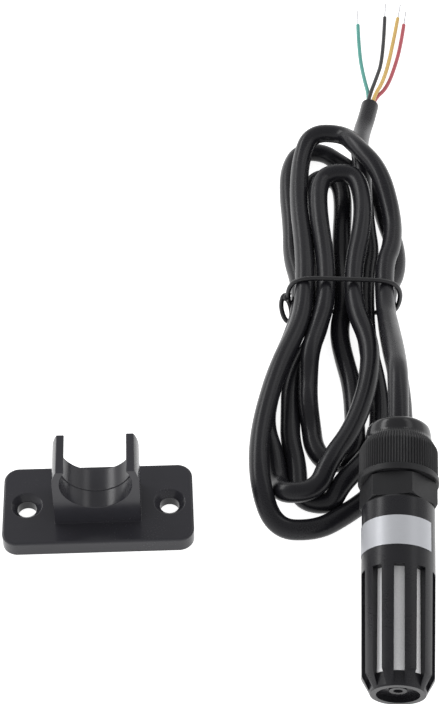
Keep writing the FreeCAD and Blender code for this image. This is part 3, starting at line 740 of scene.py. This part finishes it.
class CLIMATE_OT_lay_cable(bpy.types.Operator):
    """Lays the black cable, from the gland through its folds to its stripped end"""

    bl_idname = "climate.lay_cable"
    bl_label = "Cable and tie"

    def execute(self, context):
        finish = context.scene.cable_finish
        jacket = cable_jacket(finish)
        points = cable_points()
        cable = round_cord("cable", points, CABLE_RADIUS * MM, jacket)
        dress(cable, "gland_and_cable",
              ("cable_run", "cable_hank", "cable_tail"))
        finish_node("cable_inlet", jacket)
        tie = self.tie(moulded("tie_wire", finish.tie, gloss=(0.3, 0.45), grain=0.3 * MM,
                               depth=0.01 * MM))
        dress(tie, "gland_and_cable", ("twist_tie",))
        return {"FINISHED"}

    def tie(self, material):
        """The wire round the hank, its two ends twisted together and looped."""
        grip = CABLE_RADIUS + TIE_CLEARANCE + TIE_WIRE_RADIUS
        left = min(LOW_STRANDS) - grip
        right = max(LOW_STRANDS) + grip
        top = TIED_HIGH + grip
        bottom = TIED_LOW - grip
        outline = (
            (0, bottom), (right - grip / 2, bottom), (right, bottom + grip),
            (right, TIED_HIGH), (max(HIGH_STRANDS) + CABLE_RADIUS / 2, top), (0, top),
            (min(HIGH_STRANDS) - CABLE_RADIUS / 2, top), (left, TIED_HIGH),
            (left, bottom + grip), (left + grip / 2, bottom),
        )
        band = [on_hank(v, 0, z) for v, z in outline]
        crown, toe, side = (on_hank(*p) for p in TIE_LOOP)
        middle = (crown + toe) / 2
        ring = [
            middle + (crown - middle) * math.cos(a) + (side - middle) * math.sin(a)
            for a in map(math.radians, TIE_LOOP_ANGLES)
        ]
        foot = on_hank(left + TIE_WIRE_RADIUS / 2, 0, TIED_LOW + grip / 2)
        way = (crown - foot).normalized()
        length = (crown - foot).length
        ends = [helix(foot, way, length, TIE_TWIST_RADIUS, TIE_TURNS, phase)
                for phase in (0, math.pi)]
        lines = [[p * MM for p in line] for line in (band, ring, *ends)]
        return wires("wire_tie", lines, TIE_WIRE_RADIUS * MM, material, closed=(0, 1))


class CLIMATE_OT_strip_cores(bpy.types.Operator):
    """Fans out the four stripped cores and their tinned strands"""

    bl_idname = "climate.strip_cores"
    bl_label = "Cores and tips"

    def execute(self, context):
        finish = context.scene.cable_finish
        tinned = plain_metal("tinned_strands", TINNED_SILVER, gloss=(0.28, 0.42),
                             grain=0.2 * MM)
        for colour in LEAD_POINTS:
            points = lead_points(colour)
            material = core_insulation("core_" + colour, getattr(finish, colour))
            core = round_cord("core_" + colour, points, LEAD_RADIUS * MM, material,
                              sides=5)
            dress(core, "gland_and_cable", ("lead_" + colour,))
            way = (points[-1] - points[-2]).normalized()
            strands = [[points[-1], points[-1] + way * (BARE_LENGTH * MM)]]
            for i in range(STRAND_COUNT):
                strands.append(helix(points[-1], way, BARE_LENGTH * MM, STRAND_OFFSET * MM,
                                     STRAND_TURNS, math.radians(360 / STRAND_COUNT * i)))
            tip = wires("tip_" + colour, strands, STRAND_RADIUS * MM, tinned)
            dress(tip, "gland_and_cable", ("bare_tips",))
            finish_node("inner_wire_" + colour, material)
        return {"FINISHED"}


class CLIMATE_OT_dress_bracket(bpy.types.Operator):
    """Gives the clip bracket its rounded edges, its gloss and the ridge in its bore"""

    bl_idname = "climate.dress_bracket"
    bl_label = "Clip bracket"

    def execute(self, context):
        finish = context.scene.probe_finish
        piece = softened("bracket", "clip_bracket", finish.edge, bracket_plastic(finish))
        dress(piece, "gland_and_cable", ("bracket",))
        arc = [
            Vector((CLIP_BORE_RADIUS * math.cos(a), RIDGE_PLACE,
                    CLIP_AXIS_HEIGHT + CLIP_BORE_RADIUS * math.sin(a))) * MM
            for a in map(math.radians, RIDGE_ANGLES)
        ]
        ridge = wires("bore_ridge", [arc], RIDGE_RADIUS * MM, piece.data.materials[0])
        dress(ridge, "gland_and_cable")
        return {"FINISHED"}


class CLIMATE_OT_dress_housing(bpy.types.Operator):
    """Gives the slotted housing its finish, with the filter behind its slots"""

    bl_idname = "climate.dress_housing"
    bl_label = "Slotted housing"

    def execute(self, context):
        finish = context.scene.probe_finish
        shell = softened("sensor_housing", "slotted_housing",
                         finish.edge * HOUSING_EDGE_SHARE, housing_plastic(finish))
        dress(shell, "housing", ("sensor_housing",))
        sticker = softened("label", "bare_label", LABEL_EDGE * MM, label_foil(finish))
        dress(sticker, "housing", ("label",))
        finish_node("filter_sleeve", filter_mesh(finish))
        return {"FINISHED"}


class CLIMATE_OT_dress_gland(bpy.types.Operator):
    """Gives the hexagon, the ribbed nut and the seals inside them their finishes"""

    bl_idname = "climate.dress_gland"
    bl_label = "Gland and nut"

    def execute(self, context):
        finish = context.scene.probe_finish
        nylon = gland_nylon(finish)
        hexagon = softened("gland_body", "gland_hexagon",
                           finish.edge * HEXAGON_EDGE_SHARE, nylon)
        dress(hexagon, "gland_and_cable", ("gland_body",))
        nut = self.nut(nylon, dome_nylon(finish))
        dress(nut, "nut", ("sealing_nut",))
        finish_node("clamp_claw", moulded("claw_nylon", CLAW_BLACK, gloss=(0.45, 0.6),
                                          grain=0.3 * MM, depth=0.01 * MM))
        finish_node("seal_bush", soft_rubber("seal_rubber", SEAL_BLACK))
        finish_node("housing_gasket", soft_rubber("gasket_rubber", GASKET_BLACK))
        return {"FINISHED"}

    def nut(self, material, polished):
        """The ribbed nut, with the smoother finish on its dome."""
        across, above = cross_axes(probe_axis())
        form = bmesh.new()
        count = len(RIB_PROFILE) * NUT_RIBS
        rings = []
        for radius, height, depth in NUT_ROWS:
            centre = on_probe(height)
            ring = []
            for i in range(count):
                angle = 2 * math.pi * i / count
                reach = radius - depth * RIB_PROFILE[i % len(RIB_PROFILE)]
                outward = across * math.cos(angle) + above * math.sin(angle)
                ring.append(form.verts.new((centre + outward * reach) * MM))
            rings.append(ring)
        for row, (low, high) in enumerate(zip(rings, rings[1:] + rings[:1])):
            for i in range(count):
                j = (i + 1) % count
                face = form.faces.new((low[i], low[j], high[j], high[i]))
                face.material_index = int(row >= DOME_ROW)
        bmesh.ops.recalc_face_normals(form, faces=form.faces)
        mesh = bpy.data.meshes.new("ribbed_nut")
        form.to_mesh(mesh)
        form.free()
        mesh.materials.append(material)
        mesh.materials.append(polished)
        return link(bpy.data.objects.new("ribbed_nut", smoothed(mesh, NUT_SHARP_ANGLE)))


class CLIMATE_OT_dress_board(bpy.types.Operator):
    """Gives the board and the parts on it their finishes"""

    bl_idname = "climate.dress_board"
    bl_label = "Circuit board"

    def execute(self, context):
        finish_node("circuit_board", board_laminate())
        finish_node("sensor_chip", plain_metal("sensor_lid", LID_SILVER,
                                               gloss=(0.25, 0.4), grain=0.15 * MM))
        finish_node("board_parts", moulded("chip_resin", RESIN_BLACK, gloss=(0.5, 0.65),
                                           grain=0.1 * MM, depth=0.006 * MM,
                                           blotch=1 * MM))
        finish_node("solder_joints", plain_metal("solder", SOLDER_SILVER,
                                                 gloss=(0.18, 0.32), grain=0.3 * MM))
        return {"FINISHED"}


class CLIMATE_OT_set_stage(bpy.types.Operator):
    """Sets the pale table, the soft lights and the camera"""

    bl_idname = "climate.set_stage"
    bl_label = "Studio"

    def execute(self, context):
        settings = context.scene.stage_settings
        self.camera(context)
        self.table(settings)
        self.surroundings(context, settings)
        self.lamps(settings)
        context.scene.view_settings.view_transform = "Standard"
        return {"FINISHED"}

    def camera(self, context):
        """The camera of the photograph, turned a little about its own axis."""
        azimuth = math.radians(CAMERA_AZIMUTH)
        elevation = math.radians(CAMERA_ELEVATION)
        roll = math.radians(CAMERA_ROLL)
        back = Vector((math.sin(azimuth) * math.cos(elevation),
                       -math.cos(azimuth) * math.cos(elevation), math.sin(elevation)))
        level = Vector((math.cos(azimuth), math.sin(azimuth), 0))
        over = back.cross(level)
        right = level * math.cos(roll) + over * math.sin(roll)
        up = over * math.cos(roll) - level * math.sin(roll)
        lens = bpy.data.cameras.new("camera")
        lens.sensor_fit = "AUTO"
        lens.sensor_width = CAMERA_SENSOR
        lens.lens = CAMERA_LENS
        lens.clip_start = CAMERA_NEAR * MM
        lens.clip_end = CAMERA_FAR * MM
        camera = link(bpy.data.objects.new("camera", lens))
        stand = Matrix((right, up, back)).transposed().to_4x4()
        stand.translation = (Vector(CAMERA_AIM) + back * CAMERA_DISTANCE) * MM
        camera.matrix_world = stand
        context.scene.camera = camera

    def table(self, settings):
        """A table top that glows faintly white to the eye and keeps a soft shadow."""
        mesh = bpy.data.meshes.new("table")
        form = bmesh.new()
        bmesh.ops.create_grid(form, x_segments=8, y_segments=8,
                              size=settings.floor_size / 2)
        form.to_mesh(mesh)
        form.free()
        table = link(bpy.data.objects.new("table", mesh))
        material, shader = new_material("table_white", Specular_IOR_Level=0.0)
        grain = surface_noise(material, size=2 * MM, detail=3)
        tint(material, shader, TABLE_WHITE, grain, contrast=0.01)
        roughen(material, shader, grain, gloss=(0.8, 0.9))
        shader.inputs["Emission Color"].default_value = (1, 1, 1, 1)
        glow = spread(material, seen_directly(material), low=0,
                      high=settings.floor_glow, start=0, end=1)
        connect(material, glow, shader.inputs["Emission Strength"])
        mesh.materials.append(material)

    def surroundings(self, context, settings):
        """Soft light from all round, darker overhead, that shows white to the eye."""
        world = bpy.data.worlds.new("studio")
        context.scene.world = world
        world.use_nodes = True
        background = world.node_tree.nodes["Background"]
        way = add_node(world, "ShaderNodeTexCoord").outputs["Generated"]
        height = add_node(world, "ShaderNodeSeparateXYZ", {"Vector": way}).outputs["Z"]
        fall = add_node(world, "ShaderNodeMapRange", {
            "Value": height, "From Min": SKY_FALL_FROM, "From Max": SKY_FALL_TO,
            "To Min": 1.0, "To Max": settings.ceiling,
        }, interpolation_type="SMOOTHSTEP")
        connect(world, fall.outputs["Result"], background.inputs["Color"])
        strength = spread(world, seen_directly(world), low=settings.ambient, high=1.0,
                          start=0, end=1)
        connect(world, strength, background.inputs["Strength"])

    def lamps(self, settings):
        """Two long soft boxes that draw a highlight along each side of a strand."""
        for name, place, share in SOFT_BOXES:
            light = bpy.data.lights.new(name, "AREA")
            light.shape = "RECTANGLE"
            light.size = BOX_WIDTH
            light.size_y = BOX_LENGTH
            light.energy = settings.key_power * share
            lamp = link(bpy.data.objects.new(name, light))
            lamp.location = place
            towards = Vector(place) - Vector(BOX_AIM)
            lamp.rotation_euler = towards.to_track_quat("Z", "X").to_euler()


class CLIMATE_PT_panel(bpy.types.Panel):
    """Lists the steps and the settings of the climate probe"""

    bl_idname = "CLIMATE_PT_panel"
    bl_label = "Climate probe"
    bl_space_type = "VIEW_3D"
    bl_region_type = "UI"
    bl_category = "Climate probe"

    def draw(self, context):
        for operator in STEPS:
            self.layout.operator(operator.bl_idname)
        for settings in (context.scene.probe_finish, context.scene.cable_finish,
                         context.scene.stage_settings):
            box = self.layout.box()
            for key in settings.__annotations__:
                box.prop(settings, key)


SETTINGS = (ProbeFinish, CableFinish, StageSettings)
STEPS = (
    CLIMATE_OT_set_stage,
    CLIMATE_OT_lay_cable,
    CLIMATE_OT_strip_cores,
    CLIMATE_OT_dress_bracket,
    CLIMATE_OT_dress_housing,
    CLIMATE_OT_dress_gland,
    CLIMATE_OT_dress_board,
)


def register():
    """Makes the steps and their settings known."""
    for cls in (*SETTINGS, *STEPS, CLIMATE_PT_panel):
        bpy.utils.register_class(cls)
    bpy.types.Scene.probe_finish = PointerProperty(type=ProbeFinish)
    bpy.types.Scene.cable_finish = PointerProperty(type=CableFinish)
    bpy.types.Scene.stage_settings = PointerProperty(type=StageSettings)


def unregister():
    """Takes the steps and their settings away again."""
    del bpy.types.Scene.stage_settings
    del bpy.types.Scene.cable_finish
    del bpy.types.Scene.probe_finish
    for cls in (CLIMATE_PT_panel, *reversed(STEPS), *reversed(SETTINGS)):
        bpy.utils.unregister_class(cls)


def main():
    """Runs the steps."""
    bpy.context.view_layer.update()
    register()
    bpy.ops.climate.set_stage()
    bpy.ops.climate.lay_cable()
    bpy.ops.climate.strip_cores()
    bpy.ops.climate.dress_bracket()
    bpy.ops.climate.dress_housing()
    bpy.ops.climate.dress_gland()
    bpy.ops.climate.dress_board()
    bpy.context.view_layer.update()


if __name__ == "__main__":
    main()
